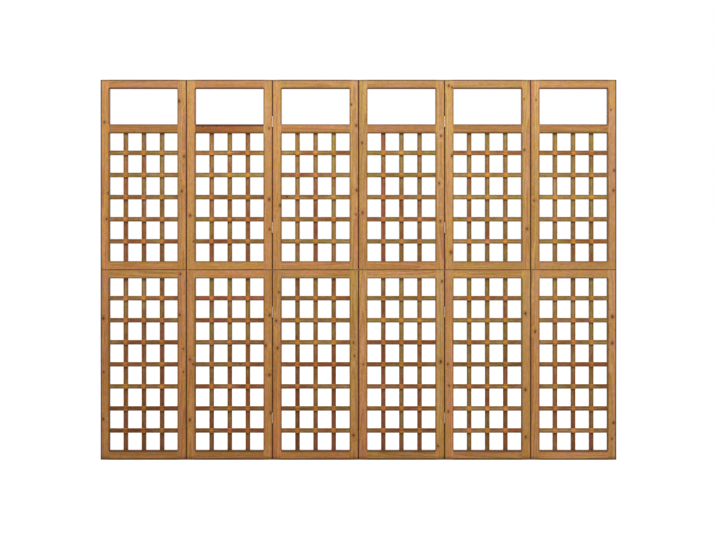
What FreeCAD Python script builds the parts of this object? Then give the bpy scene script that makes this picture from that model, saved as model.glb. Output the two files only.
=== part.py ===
import FreeCAD, Part
import os
import re

import Sketcher

# Folding trellis screen, standing flat: six panels in a row, joined by butt hinges on alternate faces.
# The leaves are let into the edges of the stiles, so that the panels stand all but edge to edge.
# Each panel is two frames, one on the other. A lattice of slats fills the lower frame and most of the
# upper one, which has an open window above its middle rail. Cross slats lie in front of upright slats.
# X runs along the row, -Y is the front and +Z is up. The origin is at the middle of the row, on the floor.

PANELS = 6
UPRIGHT_SLATS = 3
UPPER_CROSS_SLATS = 5
LOWER_CROSS_SLATS = 7
HINGES_PER_FRAME = 2
FRAMES = 2

# Hinge barrels and their bores have a few flats each, which keeps the many small hinges light.
BARREL_SIDES = 8
BORE_SIDES = 4

# The driving dimensions, in millimetres.
SIZES = {
    "panel_width": 407,
    "panel_gap": 0.4,
    "half_height": 900,
    "frame_thickness": 20,
    "stile_width": 42.5,
    "rail_width": 41,
    "bottom_rail_width": 45,
    "window_height": 170,
    "slat_width": 22,
    "slat_thickness": 7,
    "slat_recess": 3,
    "slat_housing": 8,
    "tenon_length": 20,
    "tenon_thickness": 8,
    "tenon_shoulder": 7,
    "glue_gap": 1,
    "tongue_length": 30,
    "tongue_width": 160,
    "tongue_thickness": 8,
    "hinge_length": 50,
    "hinge_inset": 200,
    "leaf_depth": 17,
    "leaf_thickness": 1.45,
    "leaf_gap": 0.1,
    "seat_gap": 0.25,
    "pin_diameter": 3,
    "pin_clearance": 0.05,
    "barrel_gap": 0.15,
    "knuckle_gap": 0.3,
    "notch_gap": 0.5,
}

# Lengths worked out from the driving dimensions.
BORE = "(pin_diameter + 2 * pin_clearance)"
BARREL = f"({BORE} + 2 * leaf_thickness)"
PITCH = "(panel_width + panel_gap)"
OPENING = "(panel_width - 2 * stile_width)"
UPPER_LATTICE = "(half_height - 3 * rail_width - window_height)"
LOWER_LATTICE = "(half_height - rail_width - bottom_rail_width)"
KNUCKLE = "((hinge_length - 2 * knuckle_gap) / 3)"


def corner_radius(across_flats, sides):
    return f"({across_flats} / 2 / cos(180 deg / {sides}))"


# A leaf's plate keeps clear of the other leaf's knuckles, and the barrel turns clear of the frame's face.
NOTCH = f"({corner_radius(BARREL, BARREL_SIDES)} + notch_gap)"
PIN_OFFSET = f"({corner_radius(BARREL, BARREL_SIDES)} + barrel_gap)"

# The seat of a leaf in the edge of a stile.
SEAT_DEPTH = "(leaf_thickness + leaf_gap / 2 - panel_gap / 2)"
SEAT_REACH = f"(leaf_depth - {PIN_OFFSET} + seat_gap)"

# Each frame's rails, as their lower edge and width, measured from the foot of the frame.
UPPER_RAILS = [
    ("0", "rail_width"),
    (f"rail_width + {UPPER_LATTICE}", "rail_width"),
    ("half_height - rail_width", "rail_width"),
]
LOWER_RAILS = [
    ("0", "bottom_rail_width"),
    ("half_height - rail_width", "rail_width"),
]

# Sketch dimensions run from the sketch's own origin, or from the start or end of a line.
ROOT = -1
START = 1
END = 2
CENTRE = 3
UP = FreeCAD.Vector(0, 0, 1)


def tied(word):
    """A size's name becomes its cell, and any other word stays."""
    name = word.group()
    return f"sizes.{name}" if name in SIZES else name


def bound(formula):
    return re.sub(r"[a-z_]+", tied, formula)


def value(formula):
    return float(sheet.evalExpression(bound(formula)))


def make_sheet(doc):
    sheet = doc.addObject("Spreadsheet::Sheet", "sizes")
    for row, (name, size) in enumerate(SIZES.items(), 1):
        sheet.set(f"A{row}", name)
        sheet.set(f"B{row}", str(size))
        sheet.setAlias(f"B{row}", name)
    doc.recompute()
    return sheet


def make_body(label, x="0", y="0", z="0"):
    body = doc.addObject("PartDesign::Body", label)
    body.Label = label
    for axis, formula in (("x", x), ("y", y), ("z", z)):
        body.setExpression(f"Placement.Base.{axis}", bound(formula))
    return body


def origin_part(body, role):
    return next(item for item in body.Origin.OriginFeatures if item.Role == role)


def make_sketch(body, role, offset):
    """A sketch on one of the body's own planes, moved along that plane's normal."""
    sketch = body.newObject("Sketcher::SketchObject", "sketch")
    sketch.AttachmentSupport = [(origin_part(body, role), "")]
    sketch.MapMode = "FlatFace"
    sketch.setExpression("AttachmentOffset.Base.z", bound(offset))
    return sketch


def dimension(sketch, kind, ends, formula):
    number = sketch.addConstraint(Sketcher.Constraint(kind, *ends, value(formula)))
    sketch.setExpression(f"Constraints[{number}]", bound(formula))


def polygon(sketch, corners):
    """A closed run of lines through the corners. Gives the number of its first line."""
    first = sketch.GeometryCount
    count = len(corners)
    for side in range(count):
        sketch.addGeometry(Part.LineSegment(corners[side], corners[(side + 1) % count]))
    for side in range(count):
        ends = (first + side, END, first + (side + 1) % count, START)
        sketch.addConstraint(Sketcher.Constraint("Coincident", *ends))
    return first


def rectangle(sketch, left, bottom, width, height):
    low_x, low_y = value(left), value(bottom)
    high_x, high_y = low_x + value(width), low_y + value(height)
    corners = [(low_x, low_y), (high_x, low_y), (high_x, high_y), (low_x, high_y)]
    first = polygon(sketch, [FreeCAD.Vector(x, y, 0) for x, y in corners])
    for side, way in enumerate(("Horizontal", "Vertical", "Horizontal", "Vertical")):
        sketch.addConstraint(Sketcher.Constraint(way, first + side))
    dimension(sketch, "DistanceX", (ROOT, START, first, START), left)
    dimension(sketch, "DistanceY", (ROOT, START, first, START), bottom)
    dimension(sketch, "DistanceX", (first, START, first, END), width)
    dimension(sketch, "DistanceY", (first + 1, START, first + 1, END), height)


def flat_sided(sketch, across_flats, sides):
    """A regular outline round the sketch's origin, with one flat square to the sketch's X axis."""
    corner = corner_radius(across_flats, sides)
    radius = FreeCAD.Vector(value(corner), 0, 0)
    turns = [FreeCAD.Rotation(UP, (side - 0.5) * 360 / sides) for side in range(sides)]
    first = polygon(sketch, [turn.multVec(radius) for turn in turns])
    circle = sketch.addGeometry(Part.Circle(FreeCAD.Vector(), UP, radius.x), True)
    sketch.addConstraint(Sketcher.Constraint("Coincident", circle, CENTRE, ROOT, START))
    for side in range(sides):
        sketch.addConstraint(Sketcher.Constraint("PointOnObject", first + side, START, circle))
    for side in range(1, sides):
        sketch.addConstraint(Sketcher.Constraint("Equal", first, first + side))
    sketch.addConstraint(Sketcher.Constraint("Vertical", first))
    dimension(sketch, "Radius", (circle,), corner)


def grow(body, kind, sketch, length):
    """A pad or pocket that reaches half its length to each side of its sketch."""
    feature = body.newObject(kind, "feature")
    feature.Profile = sketch
    feature.SideType = "Symmetric"
    feature.setExpression("Length", bound(length))
    return feature


def pad(body, sketch, length):
    return grow(body, "PartDesign::Pad", sketch, length)


def pocket(body, sketch, length):
    doc.recompute()
    before = body.Shape.Volume
    feature = grow(body, "PartDesign::Pocket", sketch, length)
    doc.recompute()
    if body.Shape.Volume >= before:
        raise RuntimeError(f"a pocket in {body.Label} cuts nothing")
    return feature


def make_row(body, axis, spacing, count):
    row = body.newObject("PartDesign::LinearPattern", "row")
    row.Direction = (origin_part(body, axis), [""])
    row.Mode = "Spacing"
    row.setExpression("Offset", bound(spacing))
    row.Occurrences = count
    return row


def repeat(body, originals, axis, spacing, count):
    row = make_row(body, axis, spacing, count)
    row.Originals = originals
    body.Tip = row


def cell(lattice, slats):
    """The clear space between two slats that share a lattice evenly."""
    return f"(({lattice} - {slats} * slat_width) / {slats + 1})"


def step(lattice, slats):
    return f"({cell(lattice, slats)} + slat_width)"


def tenon_profiles(sketch, rails):
    for bottom, width in rails:
        rectangle(
            sketch,
            "(frame_thickness - tenon_thickness) / 2",
            f"{bottom} + tenon_shoulder",
            "tenon_thickness",
            f"{width} - 2 * tenon_shoulder",
        )


def cross_slat_profile(sketch, lattice_foot, lattice, slats):
    rectangle(
        sketch,
        "slat_recess",
        f"{lattice_foot} + {cell(lattice, slats)}",
        "slat_thickness",
        "slat_width",
    )


def upright_slat_profile(sketch):
    rectangle(
        sketch,
        f"stile_width + {cell(OPENING, UPRIGHT_SLATS)}",
        "slat_recess + slat_thickness",
        "slat_width",
        "slat_thickness",
    )


def tongue_profile(sketch):
    rectangle(
        sketch,
        "(panel_width - tongue_width) / 2",
        "(frame_thickness - tongue_thickness) / 2",
        "tongue_width",
        "tongue_thickness",
    )


def at_back(line):
    """A screen that folds zigzag has its hinges at the back on every second line, from the first."""
    return line % 2 == 0


def seat_profiles(sketch, number):
    """Seats for the hinge leaves, in the panel's edges that meet another panel."""
    for line, left in ((number - 1, "0"), (number, f"panel_width - {SEAT_DEPTH}")):
        if 0 <= line < PANELS - 1:
            front = f"frame_thickness - {SEAT_REACH}" if at_back(line) else "0"
            rectangle(sketch, left, front, SEAT_DEPTH, SEAT_REACH)


def build_stiles(body, number, rails, lattice_foot, lattice, slats):
    """The two uprights of a frame, mortised for its rails and cross slats and let in for its hinges."""
    profiles = make_sketch(body, "XY_Plane", "half_height / 2")
    for left in ("0", "panel_width - stile_width"):
        rectangle(profiles, left, "0", "stile_width", "frame_thickness")
    pad(body, profiles, "half_height")

    mortises = make_sketch(body, "YZ_Plane", "panel_width / 2")
    tenon_profiles(mortises, rails)
    pocket(body, mortises, f"{OPENING} + 2 * (tenon_length + glue_gap)")

    housing = make_sketch(body, "YZ_Plane", "panel_width / 2")
    cross_slat_profile(housing, lattice_foot, lattice, slats)
    first = pocket(body, housing, f"{OPENING} + 2 * (slat_housing + glue_gap)")
    repeat(body, [first], "Z_Axis", step(lattice, slats), slats)

    seats = make_sketch(body, "XY_Plane", "hinge_inset")
    seat_profiles(seats, number)
    first = pocket(body, seats, "hinge_length + 2 * seat_gap")
    repeat(body, [first], "Z_Axis", "half_height - 2 * hinge_inset", HINGES_PER_FRAME)


def build_rails(body, rails, lattice_foot, lattice, seam):
    """The rails of a frame, with stub tenons, upright slat mortises and a slot for the tongue at the seam."""
    profiles = make_sketch(body, "YZ_Plane", "panel_width / 2")
    for bottom, width in rails:
        rectangle(profiles, "0", bottom, "frame_thickness", width)
    pad(body, profiles, OPENING)

    tenons = make_sketch(body, "YZ_Plane", "panel_width / 2")
    tenon_profiles(tenons, rails)
    pad(body, tenons, f"{OPENING} + 2 * tenon_length")

    housing = make_sketch(body, "XY_Plane", f"{lattice_foot} + {lattice} / 2")
    upright_slat_profile(housing)
    first = pocket(body, housing, f"{lattice} + 2 * (slat_housing + glue_gap)")
    repeat(body, [first], "X_Axis", step(OPENING, UPRIGHT_SLATS), UPRIGHT_SLATS)

    slot = make_sketch(body, "XY_Plane", seam)
    tongue_profile(slot)
    pocket(body, slot, "tongue_length + 2 * glue_gap")


def build_cross_slats(body):
    for foot, lattice, slats in (
        ("bottom_rail_width", LOWER_LATTICE, LOWER_CROSS_SLATS),
        ("half_height + rail_width", UPPER_LATTICE, UPPER_CROSS_SLATS),
    ):
        profile = make_sketch(body, "YZ_Plane", "panel_width / 2")
        cross_slat_profile(profile, foot, lattice, slats)
        first = pad(body, profile, f"{OPENING} + 2 * slat_housing")
        repeat(body, [first], "Z_Axis", step(lattice, slats), slats)


def build_upright_slats(body):
    for foot, lattice in (
        ("bottom_rail_width", LOWER_LATTICE),
        ("half_height + rail_width", UPPER_LATTICE),
    ):
        profile = make_sketch(body, "XY_Plane", f"{foot} + {lattice} / 2")
        upright_slat_profile(profile)
        first = pad(body, profile, f"{lattice} + 2 * slat_housing")
        repeat(body, [first], "X_Axis", step(OPENING, UPRIGHT_SLATS), UPRIGHT_SLATS)


def build_tongue(body):
    """The loose tongue that joins the upper frame to the lower one."""
    profile = make_sketch(body, "XY_Plane", "half_height")
    tongue_profile(profile)
    pad(body, profile, "tongue_length")


def along_the_line(body, originals):
    """Sets the hinges near both ends of the lower frame, and again on the upper frame."""
    hinges = body.newObject("PartDesign::MultiTransform", "hinges")
    on_a_frame = make_row(body, "Z_Axis", "half_height - 2 * hinge_inset", HINGES_PER_FRAME)
    on_each_frame = make_row(body, "Z_Axis", "half_height", FRAMES)
    hinges.Originals = originals
    hinges.Transformations = [on_a_frame, on_each_frame]
    body.Tip = hinges


def build_leaves(body, knuckle_shifts):
    """Hinge leaves round the pin's axis. Each is a flat plate, rolled into knuckles, with notches between."""
    plate = make_sketch(body, "XY_Plane", "hinge_inset")
    rectangle(plate, "leaf_gap / 2", NOTCH, "leaf_thickness", f"leaf_depth - {NOTCH}")
    features = [pad(body, plate, "hinge_length")]
    for shift in knuckle_shifts:
        height = f"hinge_inset + {shift} * ({KNUCKLE} + knuckle_gap)"
        root = make_sketch(body, "XY_Plane", height)
        rectangle(root, "leaf_gap / 2", "0", "leaf_thickness", NOTCH)
        barrel = make_sketch(body, "XY_Plane", height)
        flat_sided(barrel, BARREL, BARREL_SIDES)
        bore = make_sketch(body, "XY_Plane", height)
        flat_sided(bore, BORE, BORE_SIDES)
        features.append(pad(body, root, KNUCKLE))
        features.append(pad(body, barrel, KNUCKLE))
        features.append(pocket(body, bore, KNUCKLE))
    along_the_line(body, features)


def build_pins(body):
    profile = make_sketch(body, "XY_Plane", "hinge_inset")
    circle = profile.addGeometry(Part.Circle(FreeCAD.Vector(), UP, value("pin_diameter") / 2))
    profile.addConstraint(Sketcher.Constraint("Coincident", circle, CENTRE, ROOT, START))
    dimension(profile, "Diameter", (circle,), "pin_diameter")
    along_the_line(body, [pad(body, profile, "hinge_length")])


def build_panel(number):
    """One panel's sub-parts, with how many solids each must have."""
    x = f"{number - PANELS / 2} * {PITCH} + panel_gap / 2"
    y = "-frame_thickness / 2"

    def named(name, z="0"):
        return make_body(f"panel_{number + 1}_{name}", x, y, z)

    upper_stiles = named("upper_stiles", "half_height")
    build_stiles(upper_stiles, number, UPPER_RAILS, "rail_width", UPPER_LATTICE, UPPER_CROSS_SLATS)
    upper_rails = named("upper_rails", "half_height")
    build_rails(upper_rails, UPPER_RAILS, "rail_width", UPPER_LATTICE, "0")
    lower_stiles = named("lower_stiles")
    build_stiles(lower_stiles, number, LOWER_RAILS, "bottom_rail_width", LOWER_LATTICE, LOWER_CROSS_SLATS)
    lower_rails = named("lower_rails")
    build_rails(lower_rails, LOWER_RAILS, "bottom_rail_width", LOWER_LATTICE, "half_height")
    cross_slats = named("cross_slats")
    build_cross_slats(cross_slats)
    upright_slats = named("upright_slats")
    build_upright_slats(upright_slats)
    tongue = named("joining_tongue")
    build_tongue(tongue)
    return {
        upper_stiles: 2,
        upper_rails: len(UPPER_RAILS),
        lower_stiles: 2,
        lower_rails: len(LOWER_RAILS),
        cross_slats: UPPER_CROSS_SLATS + LOWER_CROSS_SLATS,
        upright_slats: 2 * UPRIGHT_SLATS,
        tongue: 1,
    }


def build_hinge_line(number):
    """The hinges between two panels, at the back on the odd lines and at the front on the even ones."""
    x = f"{number + 1 - PANELS / 2} * {PITCH}"
    side = 1 if at_back(number) else -1
    y = f"{side} * (frame_thickness / 2 + {PIN_OFFSET})"
    name = f"hinge_line_{number + 1}"
    top = f"{FRAMES} * half_height"

    # Leaves are drawn on the right of the pin, reaching towards +Y, and turned over where they lie otherwise.
    left_axis = UP if side > 0 else FreeCAD.Vector(0, 1, 0)
    left = make_body(f"{name}_left_leaves", x, y, "0" if side > 0 else top)
    left.Placement.Rotation = FreeCAD.Rotation(left_axis, 180)
    build_leaves(left, (-1, 1))
    right = make_body(f"{name}_right_leaves", x, y, top if side > 0 else "0")
    right.Placement.Rotation = FreeCAD.Rotation(FreeCAD.Vector(1, 0, 0), 180 if side > 0 else 0)
    build_leaves(right, (0,))
    pins = make_body(f"{name}_pins", x, y)
    build_pins(pins)
    hinges = HINGES_PER_FRAME * FRAMES
    return {left: hinges, right: hinges, pins: hinges}


def check(sub_parts):
    for item in doc.Objects:
        if "Invalid" in item.State or "Error" in item.State:
            raise RuntimeError(f"{item.Label} failed: {item.State}")
    for body, solids in sub_parts.items():
        if body.Shape.isNull() or not body.Shape.isValid():
            raise RuntimeError(f"{body.Label} has no valid shape")
        if len(body.Shape.Solids) != solids:
            raise RuntimeError(f"{body.Label} has {len(body.Shape.Solids)} solids, not {solids}")


doc = FreeCAD.newDocument("trellis_screen")
sheet = make_sheet(doc)
sub_parts = {}
for number in range(PANELS):
    sub_parts.update(build_panel(number))
for number in range(PANELS - 1):
    sub_parts.update(build_hinge_line(number))
doc.recompute()
check(sub_parts)
os.makedirs("parts", exist_ok=True)
for body in sub_parts:
    body.Shape.exportStep(f"parts/{body.Label}.step")
print(f"{len(sub_parts)} sub-parts written")
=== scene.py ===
import math
import random

import bmesh
import bpy
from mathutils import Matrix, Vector


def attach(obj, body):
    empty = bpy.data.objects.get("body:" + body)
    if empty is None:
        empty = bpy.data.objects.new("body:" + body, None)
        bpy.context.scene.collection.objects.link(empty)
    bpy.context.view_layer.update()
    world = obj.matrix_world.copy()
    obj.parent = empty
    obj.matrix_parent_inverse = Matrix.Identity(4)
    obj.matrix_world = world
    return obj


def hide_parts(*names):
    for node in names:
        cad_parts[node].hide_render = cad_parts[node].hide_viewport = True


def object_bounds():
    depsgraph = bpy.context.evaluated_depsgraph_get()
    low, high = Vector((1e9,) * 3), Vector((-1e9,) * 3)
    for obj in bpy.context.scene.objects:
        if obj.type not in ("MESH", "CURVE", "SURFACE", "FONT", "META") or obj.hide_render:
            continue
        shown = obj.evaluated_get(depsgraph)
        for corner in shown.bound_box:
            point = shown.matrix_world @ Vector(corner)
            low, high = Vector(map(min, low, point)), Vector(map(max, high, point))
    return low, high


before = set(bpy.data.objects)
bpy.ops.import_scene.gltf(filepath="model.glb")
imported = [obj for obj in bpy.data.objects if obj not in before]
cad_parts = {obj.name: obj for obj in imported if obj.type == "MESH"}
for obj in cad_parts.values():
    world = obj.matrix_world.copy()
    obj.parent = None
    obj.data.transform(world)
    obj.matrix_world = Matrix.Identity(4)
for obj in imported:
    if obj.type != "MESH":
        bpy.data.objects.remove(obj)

cad_low, cad_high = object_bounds()

# Folding trellis screen in stained fir: eased sticks with grain and knots, and zinc-plated hinges.
# Lengths are in metres, and hinge parts are drawn in millimetres round their pin.

MM = 0.001
X_AXIS, Y_AXIS, Z_AXIS = 0, 1, 2
PANELS = 6
LINES = PANELS - 1
chance = random.Random(1806)

# Knots that show on the front, as place along the row, height and radius.
KNOTS = [
    (-1.203, 1.599, 0.0045), (-1.192, 1.140, 0.0045), (-1.185, 1.263, 0.0040),
    (-1.208, 0.670, 0.0060), (-1.206, 0.417, 0.0040), (-1.208, 0.193, 0.0055),
    (-0.850, 1.698, 0.0065), (-0.826, 1.436, 0.0050), (-0.837, 1.272, 0.0050),
    (-0.843, 0.880, 0.0045), (-0.846, 0.686, 0.0045), (-0.829, 0.526, 0.0035), (-0.829, 0.417, 0.0035),
    (-0.797, 1.157, 0.0050), (-0.781, 1.034, 0.0035),
    (-0.783, 0.453, 0.0045), (-0.798, 0.475, 0.0045), (-0.798, 0.189, 0.0055),
    (-0.423, 1.569, 0.0040), (-0.423, 1.233, 0.0055), (-0.421, 1.092, 0.0045),
    (-0.420, 0.685, 0.0050), (-0.440, 0.541, 0.0055), (-0.422, 0.402, 0.0055), (-0.415, 0.222, 0.0050),
    (-0.371, 1.204, 0.0055), (-0.377, 0.794, 0.0040), (-0.389, 0.659, 0.0050), (-0.383, 0.530, 0.0050),
    (-0.034, 1.682, 0.0040), (-0.011, 1.583, 0.0050), (-0.009, 1.276, 0.0050), (-0.012, 1.162, 0.0035),
    (-0.024, 0.555, 0.0040), (-0.019, 0.492, 0.0040), (-0.024, 0.117, 0.0055),
    (0.017, 1.501, 0.0050), (0.019, 1.170, 0.0055), (0.023, 0.453, 0.0035),
    (0.391, 1.534, 0.0045), (0.382, 1.309, 0.0045), (0.387, 1.130, 0.0045),
    (0.395, 0.845, 0.0045), (0.389, 0.465, 0.0065), (0.376, 0.066, 0.0045),
    (0.427, 1.771, 0.0055), (0.442, 1.763, 0.0040), (0.442, 1.439, 0.0050), (0.437, 0.983, 0.0060),
    (0.423, 0.454, 0.0045), (0.429, 0.352, 0.0045), (0.425, 0.229, 0.0045),
    (0.785, 1.708, 0.0030), (0.785, 1.467, 0.0045), (0.797, 1.094, 0.0050),
    (0.790, 0.693, 0.0055), (0.790, 0.332, 0.0055), (0.791, 0.108, 0.0050),
    (0.840, 1.704, 0.0030), (0.831, 1.228, 0.0040), (0.836, 0.608, 0.0050),
    (1.195, 1.657, 0.0030), (1.210, 1.370, 0.0045), (1.207, 1.275, 0.0050),
    (1.201, 0.678, 0.0060), (1.201, 0.553, 0.0055), (1.207, 0.176, 0.0055), (1.199, 0.100, 0.0040),
    (-0.560, 0.454, 0.0045), (-0.339, 1.246, 0.0055), (-0.738, 1.577, 0.0045), (-0.672, 1.580, 0.0040),
]
KNOTS_PER_STICK = 4
OPENINGS_PER_STICK = 2


def linked(name, data):
    """A new object in the scene."""
    made = bpy.data.objects.new(name, data)
    bpy.context.scene.collection.objects.link(made)
    return made


def clamped(number, low, high):
    return min(high, max(low, number))


# Node graphs.

MIX_FACTOR, MIX_FIRST, MIX_SECOND, MIX_COLOR = 0, 6, 7, 2
BUMP_STRENGTH = 0.5
NOISE_MIDDLE = 0.5


class Graph:
    """The node tree of a material or a world, with short calls for the nodes used here."""

    def __init__(self, owner):
        owner.use_nodes = True
        self.owner = owner
        self.tree = owner.node_tree
        self.tree.nodes.clear()

    def node(self, kind, inputs=None, **settings):
        """A node with its settings, and with its inputs fed by name or number."""
        made = self.tree.nodes.new(kind)
        for key, setting in settings.items():
            setattr(made, key, setting)
        for key, source in (inputs or {}).items():
            self.feed(made.inputs[key], source)
        return made

    def feed(self, socket, source):
        """Links a socket to another node's output, or sets its value."""
        if isinstance(source, bpy.types.NodeSocket):
            self.tree.links.new(source, socket)
        else:
            socket.default_value = source

    def math(self, operation, *sources, clamp=False):
        inputs = dict(enumerate(sources))
        return self.node("ShaderNodeMath", inputs, operation=operation, use_clamp=clamp).outputs[0]

    def add(self, first, second, clamp=False):
        return self.math("ADD", first, second, clamp=clamp)

    def subtract(self, first, second):
        return self.math("SUBTRACT", first, second)

    def multiply(self, first, second):
        return self.math("MULTIPLY", first, second)

    def divide(self, first, second):
        return self.math("DIVIDE", first, second)

    def larger(self, first, second):
        return self.math("MAXIMUM", first, second)

    def smaller(self, first, second):
        return self.math("MINIMUM", first, second)

    def size(self, source):
        """A number without its sign."""
        return self.math("ABSOLUTE", source)

    def above_zero(self, source):
        """One where the source is above zero, and zero elsewhere."""
        return self.math("GREATER_THAN", source, 0.0)

    def length(self, first, second):
        """The length of a line that goes so far in two directions at right angles."""
        return self.math("SQRT", self.add(self.multiply(first, first), self.multiply(second, second)))

    def swing(self, noise, reach):
        """A noise as a number that swings round zero."""
        return self.multiply(self.subtract(noise, NOISE_MIDDLE), reach)

    def between(self, low, high, share):
        return self.add(low, self.multiply(share, self.subtract(high, low)))

    def without(self, share, taken, strength=1.0):
        """What is left of a share where another one takes from it."""
        return self.multiply(share, self.subtract(1.0, self.multiply(taken, strength)))

    def ramp(self, source, low, high, start=0.0, end=1.0):
        """A smooth step from start to end as the source goes from low to high."""
        inputs = dict(enumerate((source, low, high, start, end)))
        return self.node("ShaderNodeMapRange", inputs, interpolation_type="SMOOTHSTEP").outputs[0]

    def mix(self, factor, first, second, blend="MIX"):
        inputs = {MIX_FACTOR: factor, MIX_FIRST: first, MIX_SECOND: second}
        return self.node("ShaderNodeMix", inputs, data_type="RGBA", blend_type=blend).outputs[MIX_COLOR]

    def tinted(self, color, strength, share, low, high):
        """A colour multiplied by a tint that goes from low to high with the share."""
        return self.mix(strength, color, self.mix(share, low, high), "MULTIPLY")

    def split(self, vector):
        made = self.node("ShaderNodeSeparateXYZ", {0: vector})
        return made.outputs[0], made.outputs[1], made.outputs[2]

    def join(self, *sources):
        return self.node("ShaderNodeCombineXYZ", dict(enumerate(sources))).outputs[0]

    def attribute(self, name):
        """The three numbers of a vector attribute."""
        return self.split(self.node("ShaderNodeAttribute", attribute_name=name).outputs["Vector"])

    def stretched(self, numbers, scales):
        return self.join(*(self.multiply(number, scale) for number, scale in zip(numbers, scales)))

    def noise(self, vector, seed, scale=1.0, detail=2.0, roughness=0.5):
        """The outputs of a noise: Fac is one number and Color is three."""
        inputs = {"Vector": vector, "W": seed, "Scale": scale, "Detail": detail, "Roughness": roughness}
        return self.node("ShaderNodeTexNoise", inputs, noise_dimensions="4D").outputs

    def surface(self, color, roughness, height, bump_distance, sheen, metallic=0.0):
        """Gives the owner a surface with fine relief, and returns the owner."""
        relief = {"Height": height, "Strength": BUMP_STRENGTH, "Distance": bump_distance}
        shader = self.node("ShaderNodeBsdfPrincipled", {
            "Base Color": color,
            "Roughness": roughness,
            "Metallic": metallic,
            "Specular IOR Level": sheen,
            "Normal": self.node("ShaderNodeBump", relief).outputs[0],
        })
        self.output(shader.outputs[0])
        return self.owner

    def output(self, shader, kind="ShaderNodeOutputMaterial"):
        self.node(kind, {"Surface": shader})


# Stained fir. Colours are linear. A ramp is a low and a high, then what it gives at each, or else 0 and 1.

# Stretch along, across and into a stick, seed, detail and roughness of each noise in the wood.
NOISES = {
    "ragged": ((160.0, 320.0, 90.0), 0.0, 2.0, 0.5),
    "drift": ((1.6, 11.0, 11.0), 0.0, 2.0, 0.5),
    "band": ((1.1, 75.0, 75.0), 0.0, 1.5, 0.5),
    "patch": ((4.0, 26.0, 26.0), 7.0, 2.0, 0.5),
    "fibre": ((22.0, 1100.0, 1100.0), 0.0, 3.0, 0.6),
    "fleck": ((70.0, 620.0, 620.0), 3.0, 1.0, 0.5),
    "streak": ((9.0, 210.0, 210.0), 19.0, 2.0, 0.5),
    "soak": ((9.0, 40.0, 40.0), 11.0, 2.0, 0.5),
    "milk": ((13.0, 30.0, 30.0), 23.0, 1.0, 0.5),
    "mottle": ((52.0, 120.0, 120.0), 29.0, 2.0, 0.5),
}
SEED_RANGE = 60.0

# Knots. Distances are in a knot's own radii, and a knot is a little longer along the grain.
FAR_FROM_KNOTS = 20.0
LEAST_RADIUS = 1e-5
KNOT_SLENDER = 0.72
KNOT_RAGGED = 0.5
KNOT_CORE = (0.55, 1.2, 1.0, 0.0)
KNOT_HALO = (0.8, 2.8, 1.0, 0.0)
CORE_STRENGTH = 0.85
HALO_STRENGTH = 0.6
CORE_COLOR = (0.088, 0.026, 0.008, 1)
HALO_COLOR = (0.33, 0.115, 0.034, 1)

# Growth rings.
RING_WIDTH = 0.0034
RING_WANDER = 0.014
RING_UNEVEN = 1.6
RING_BEND = (0.0, 5.0, 0.012, 0.0)
LATEWOOD_RISE = (0.25, 0.88)
LATEWOOD_FALL = (0.92, 1.0, 1.0, 0.0)
LATEWOOD_STRENGTH = 0.62

# Figure: how strong each tint is, the ramp of its noise, and its low and its high tint. Flecks and streaks
# are ramps to a share of a dark colour, and milk goes from yellow to bluish.
BAND_STRENGTH = 0.8
BAND_RANGE = (0.36, 0.64)
BAND_TINTS = ((0.95, 1.06, 0.78, 1), (1.08, 0.93, 1.08, 1))
PATCH_STRENGTH = 0.55
PATCH_RANGE = (0.32, 0.68)
PATCH_TINTS = ((0.86, 0.82, 0.76, 1), (1.14, 1.15, 1.16, 1))
FIBRE_STRENGTH = 0.5
FIBRE_TINTS = ((0.66, 0.62, 0.56, 1), (1.34, 1.37, 1.40, 1))
FLECKS = (0.7, 0.82, 0.0, 0.35)
STREAKS = (0.66, 0.78, 0.0, 0.55)
STREAK_COLOR = (0.115, 0.036, 0.012, 1)
MOTTLE_RANGE = (0.3, 0.7)
MOTTLE_TINTS = ((0.83, 0.82, 0.78, 1), (1.17, 1.18, 1.22, 1))
MILK_RANGE = (0.35, 0.65)
MILK_TINTS = ((1.0, 1.0, 0.66, 1), (1.0, 1.0, 1.34, 1))

# A stick's own stain, its brightness, which is partly painted light and shade, and the brighter, warm
# crossings.
RED_STAIN = (0.92, 0.64, 0.56, 1)
REDNESS_SPAN = (0.0, 0.9)
SHADE_START = 0.78
SHADE_SLOPE = 0.44
CROSSING_EDGE = (-0.0068, 0.0030, 1.0, 0.0)
CROSSING_DEPTH = 0.55
CROSSING_PULL = 0.75
CROSSING_GLOW = (1.80, 1.46, 1.20, 1)

# Painted shade on the arrises and side faces, the rim on them, darker sawn ends, and dark grooves, mostly
# painted shade too.
JOINT_EDGE = (-0.001, 0.002)
ARRIS_SHADE_START = 0.001
ARRIS_SHADE_STRENGTH = 0.70
ARRIS_SHADE_RAGGED = 0.003
SIDE_FACE_SHADE = (0.0, 0.0008, 0.68, 0.0)
DARK_LEFT_OUT_ON_CROSSING = 0.8
DARK_LEFT_OUT_ON_LINE = 0.5
RIM_STRENGTH = 0.85
RIM_PATCHES = (0.25, 0.6, 0.45, 1.0)
END_SPAN = (0.15, 1.0)
# A dark edge along one side of a stick, red where the stick says so: painted shade beside the gaps at the
# hinge lines, along the seam, at the foot and on the outer edges; a dark top edge on the top rails; and a
# dark streak on the dark rail.
GROOVE_EDGE = (0.3, 1.0, 0.95, 0.0)
GROOVE_RED = (0.085, 0.009, 0.001, 1)

# Finish.
ROUGHNESS = 0.46
ROUGHER_BY_FIBRE = 0.16
SMOOTHER_BY_LATEWOOD = 0.06
FIBRE_RELIEF = 0.55
LATEWOOD_RELIEF = 0.45
KNOT_HOLLOW = 0.5
FIR_RELIEF = 0.0003
FIR_SHEEN = 0.22
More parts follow.
